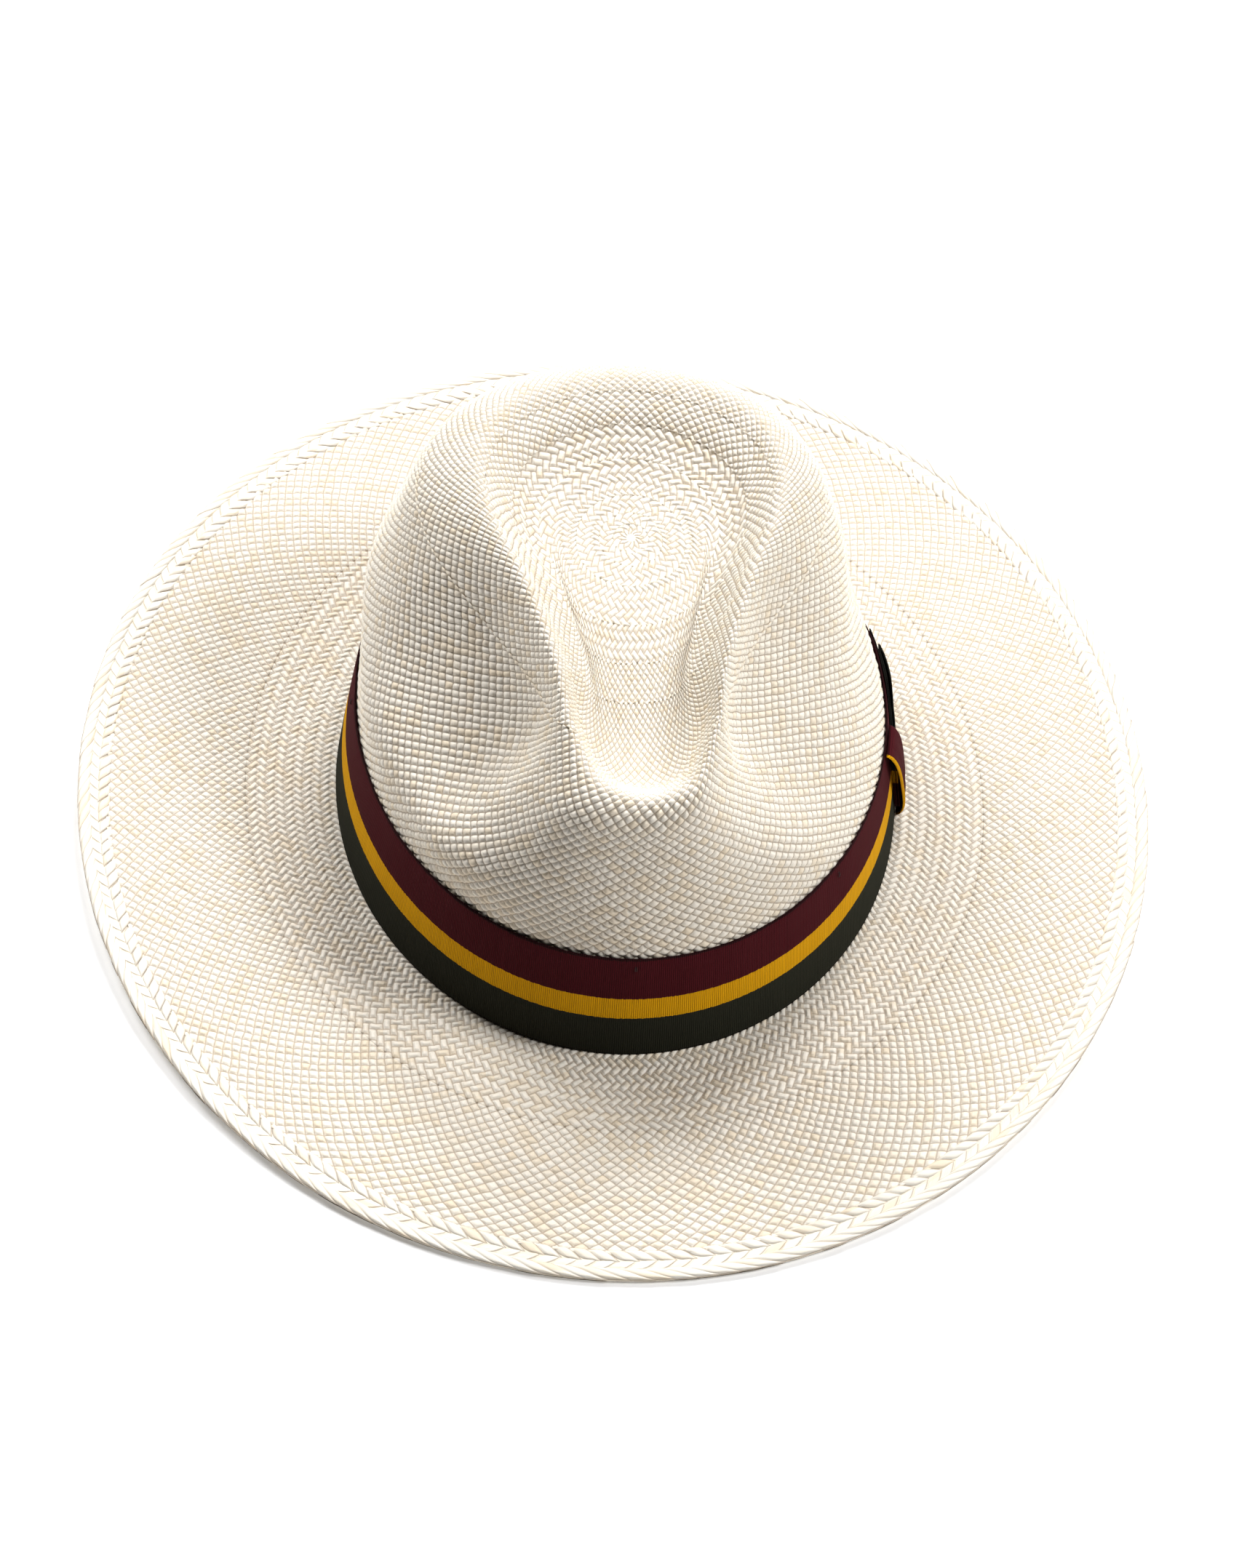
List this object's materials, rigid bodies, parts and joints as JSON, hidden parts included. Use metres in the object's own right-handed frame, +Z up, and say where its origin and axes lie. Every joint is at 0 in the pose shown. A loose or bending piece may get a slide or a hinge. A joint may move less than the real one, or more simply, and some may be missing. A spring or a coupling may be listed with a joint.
{
  "type": "panama hat",
  "caption": "Woven straw hat with a teardrop dented, front pinched crown, a wide nearly flat brim with a plaited edge, a striped ribbon band with a flat side bow, and an inner sweatband.",
  "frame": {"origin": "centre of the brim's outline, on the plane the hat stands on", "axes": "+Z up through the crown, -Y to the front of the hat, +X to the wearer's left, where the bow is"},
  "size_m": [0.3262, 0.361, 0.1092],
  "materials": {
    "straw": "natural bleached palm straw, satin, woven",
    "straw_braid": "natural bleached palm straw, satin, plaited",
    "ribbon": "matte ribbed grosgrain in burgundy, gold and dark green stripes",
    "bow_ribbon": "matte ribbed grosgrain",
    "leather": "smooth tan hat leather",
    "lining_tape": "cream cotton tape",
    "sweatband_thread": "waxed cotton thread",
    "ribbon_thread": "cotton thread"
  },
  "bodies": {
    "root": {"woven_crown": "straw", "woven_brim": "straw", "edge_braid": "straw_braid", "hatband_ribbon": "ribbon", "bow_tail": "bow_ribbon", "bow_loop": "bow_ribbon", "bow_knot": "bow_ribbon", "sweatband": "leather", "sweatband_reed": "lining_tape", "sweatband_stitching": "sweatband_thread", "sweatband_seam_tape": "lining_tape", "sweatband_bow": "lining_tape", "ribbon_tack_front": "ribbon_thread", "ribbon_tack_right": "ribbon_thread", "ribbon_tack_back": "ribbon_thread", "ribbon_tack_left": "ribbon_thread"}
  },
  "joints": []
}
